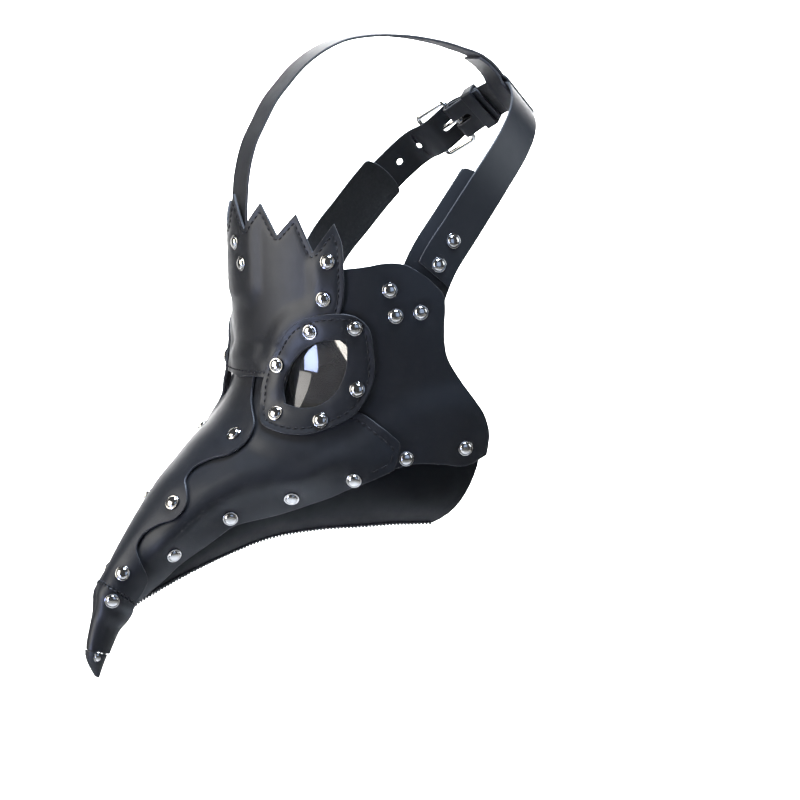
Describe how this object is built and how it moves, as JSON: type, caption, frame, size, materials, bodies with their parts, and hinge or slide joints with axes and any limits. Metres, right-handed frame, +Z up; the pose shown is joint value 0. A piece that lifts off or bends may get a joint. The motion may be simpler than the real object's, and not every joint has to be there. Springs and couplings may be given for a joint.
{
  "type": "plague doctor mask",
  "caption": "Black leather plague doctor mask: long curved beak, crown-shaped forehead panel, riveted eye patches with smoked lenses, and a buckled head strap.",
  "frame": {"origin": "front of the face form at the bridge of the nose, on the middle plane at eye level", "axes": "-Y is the way the mask faces, +X is the wearer's left, +Z is up"},
  "size_m": [0.1578, 0.2441, 0.3247],
  "materials": {
    "leather": "satin",
    "under_leather": "matte",
    "nickel": "polished",
    "lens": "gloss"
  },
  "bodies": {
    "mask": {"beak_row_rivet_left_1": "nickel", "beak_row_rivet_left_2": "nickel", "beak_row_rivet_left_3": "nickel", "beak_row_rivet_left_4": "nickel", "beak_row_rivet_right_1": "nickel", "beak_row_rivet_right_2": "nickel", "beak_row_rivet_right_3": "nickel", "beak_row_rivet_right_4": "nickel", "beak_side_left": "leather", "beak_side_right": "leather", "beak_tip_cap": "leather", "beak_tip_end": "under_leather", "cheek_panel_left": "leather", "cheek_panel_right": "leather", "cheek_row_rivet_left_1": "nickel", "cheek_row_rivet_left_2": "nickel", "cheek_row_rivet_right_1": "nickel", "cheek_row_rivet_right_2": "nickel", "crown_rivet_1": "nickel", "crown_rivet_2": "nickel", "crown_rivet_3": "nickel", "crown_rivet_4": "nickel", "crown_rivet_5": "nickel", "crown_rivet_6": "nickel", "eye_lens_left": "lens", "eye_lens_right": "lens", "eye_patch_left": "leather", "eye_patch_right": "leather", "forehead_crown": "leather", "jaw_panel_left": "under_leather", "jaw_panel_right": "under_leather", "lens_retainer_left": "leather", "lens_retainer_right": "leather", "nose_ridge_strip": "leather", "side_buckle_frame": "nickel", "side_strap_left": "leather", "side_strap_right": "leather", "strap_rivet_left_1": "nickel", "strap_rivet_left_2": "nickel", "strap_rivet_right_1": "nickel", "strap_rivet_right_2": "nickel", "temple_rivet_left_1": "nickel", "temple_rivet_left_2": "nickel", "temple_rivet_left_3": "nickel", "temple_rivet_right_1": "nickel", "temple_rivet_right_2": "nickel", "temple_rivet_right_3": "nickel", "temple_tab_left": "leather", "temple_tab_right": "leather", "top_strap": "leather", "top_strap_rivet": "nickel"},
    "side_prong": {"side_buckle_prong": "nickel"},
    "side_keeper": {"side_buckle_keeper": "leather"}
  },
  "joints": [
    {"name": "side_prong_hinge", "type": "hinge", "parent": "mask", "child": "side_prong", "pos_m": [-0.03705, 0.13783, 0.12825], "axis": [0.0237, 0.6973, -0.7164], "range_deg": [0, 45]},
    {"name": "side_keeper_slide", "type": "slide", "parent": "mask", "child": "side_keeper", "axis": [-0.7795, -0.4358, -0.45], "range_m": [-0.004, 0.002]}
  ]
}
